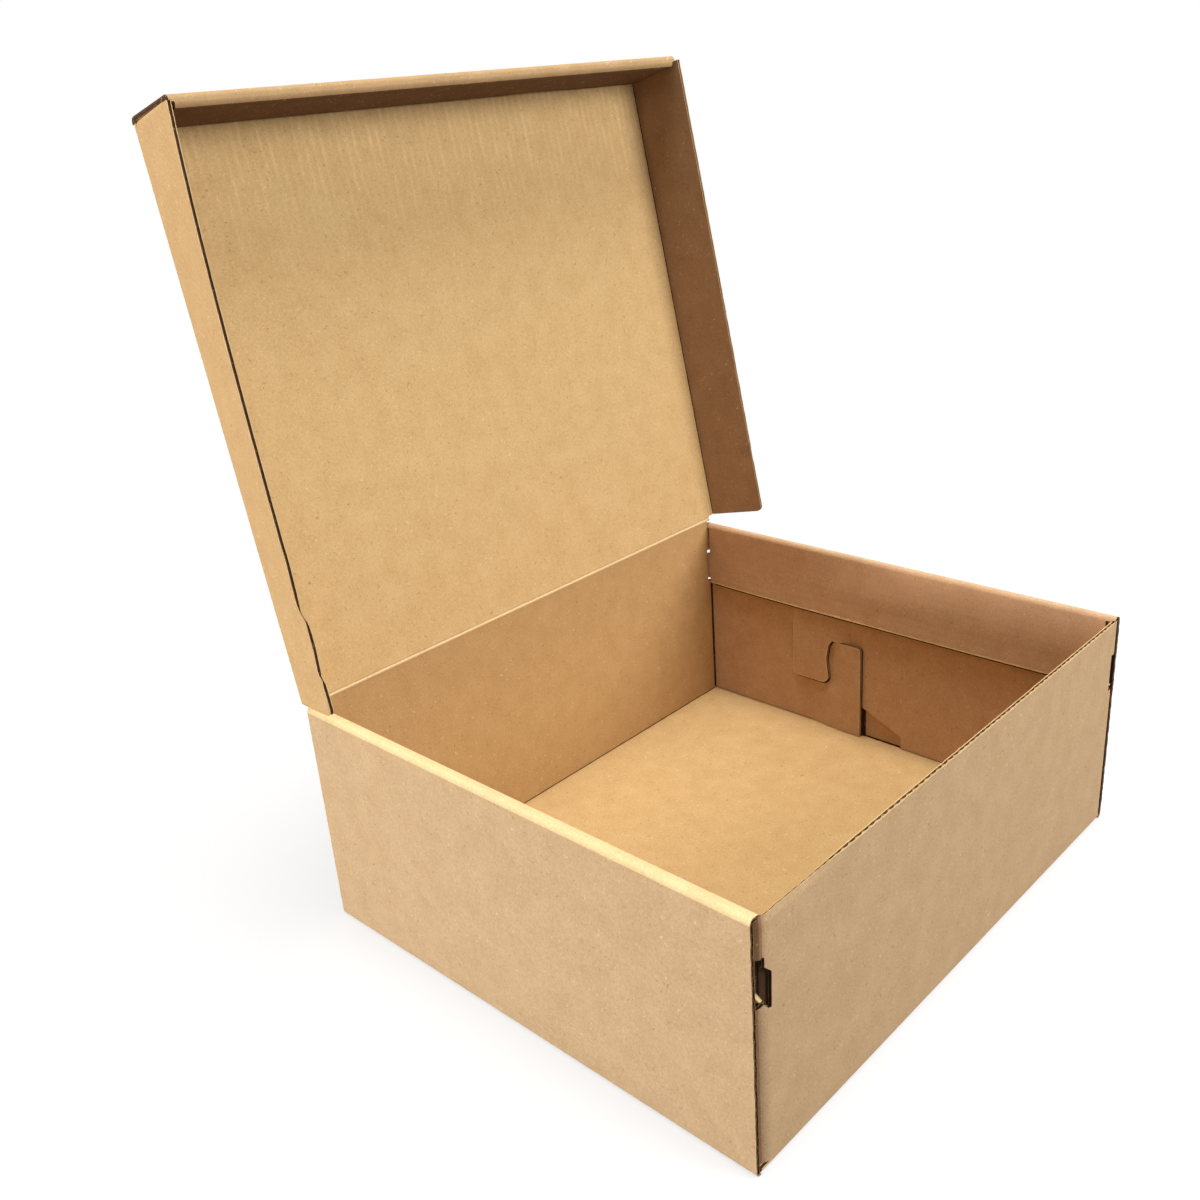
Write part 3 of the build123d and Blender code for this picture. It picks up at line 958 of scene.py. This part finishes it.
# White paper: matt, and to the eye as white as the room, but for the box's soft shadow close around it.
paper = bpy.data.materials.new("white backdrop paper")
paper.use_nodes = True
paper_tree = paper.node_tree
paper_tree.nodes.clear()
paper_path = add(paper_tree, "ShaderNodeLightPath").outputs
seen = paper_path["Is Camera Ray"]
for ray in ("Is Glossy Ray", "Is Transmission Ray"):
    seen = add(paper_tree, "ShaderNodeMath", {0: seen, 1: paper_path[ray]}, operation="MAXIMUM").outputs["Value"]
tone = add(
    paper_tree, "ShaderNodeMix", {"Factor": seen, "A": linear("808080"), "B": linear("EFEDEA")}, data_type="RGBA"
).outputs["Result"]
matt = add(paper_tree, "ShaderNodeBsdfDiffuse", {"Color": tone}).outputs["BSDF"]
shine = add(paper_tree, "ShaderNodeEmission", {"Color": linear("FFFFFF"), "Strength": 1.0}).outputs["Emission"]
spot = add(paper_tree, "ShaderNodeTexCoord").outputs["Object"]
away = add(paper_tree, "ShaderNodeVectorMath", {0: spot}, operation="LENGTH").outputs["Value"]
white = add(
    paper_tree, "ShaderNodeMapRange",
    {"Value": away, "From Min": 0.25, "From Max": 0.75, "To Min": 0.72, "To Max": 1.0},
    interpolation_type="SMOOTHSTEP",
).outputs["Result"]
share = add(paper_tree, "ShaderNodeMath", {0: white, 1: seen}, operation="MULTIPLY").outputs["Value"]
sheet = add(paper_tree, "ShaderNodeMixShader", {0: share, 1: matt, 2: shine})
add(paper_tree, "ShaderNodeOutputMaterial", {"Surface": sheet.outputs["Shader"]})
stage_mesh.materials.append(paper)

world = bpy.data.worlds.new("white room")
bpy.context.scene.world = world
world.use_nodes = True
room = world.node_tree
room.nodes.clear()
room_path = add(room, "ShaderNodeLightPath").outputs
seen = room_path["Is Camera Ray"]
for ray in ("Is Glossy Ray", "Is Transmission Ray"):
    seen = add(room, "ShaderNodeMath", {0: seen, 1: room_path[ray]}, operation="MAXIMUM").outputs["Value"]
glow = add(room, "ShaderNodeMapRange", {"Value": seen, "To Min": 0.03, "To Max": 1.0}).outputs["Result"]
sky = add(room, "ShaderNodeBackground", {"Color": linear("FFFFFF"), "Strength": glow})
add(room, "ShaderNodeOutputWorld", {"Surface": sky.outputs["Background"]})

for name, spot, size, watts in (
    ("soft box above", (-0.05, -0.05, 3.5), 1.6, 130),
    ("soft box in front", (0.9, -2.4, 1.4), 1.6, 72),
    ("small lamp front left", (-0.9, -1.0, 1.5), 0.35, 3),
    ("low lamp left", (-2.2, 0.75, 0.2), 0.3, 51),
    ("lamp behind", (0.7, 1.9, 1.1), 1.0, 10),
):
    lamp = bpy.data.lights.new(name, "AREA")
    lamp.shape = "DISK"
    lamp.size = size
    lamp.energy = watts
    soft_box = bpy.data.objects.new(name, lamp)
    soft_box.location = spot
    soft_box.rotation_euler = (Vector((0, 0, 0.2)) - Vector(spot)).to_track_quat("-Z", "Y").to_euler()
    bpy.context.scene.collection.objects.link(soft_box)

lens = bpy.data.cameras.new("camera")
lens.sensor_width = 36
lens.lens = 37.526
camera = bpy.data.objects.new("camera", lens)
camera.location = (-0.55628, -0.44562, 0.50485)
camera.rotation_euler = [math.radians(turn) for turn in (66.778, 4.051, -46.967)]
bpy.context.scene.collection.objects.link(camera)
bpy.context.scene.camera = camera
bpy.context.scene.view_settings.view_transform = "Standard"
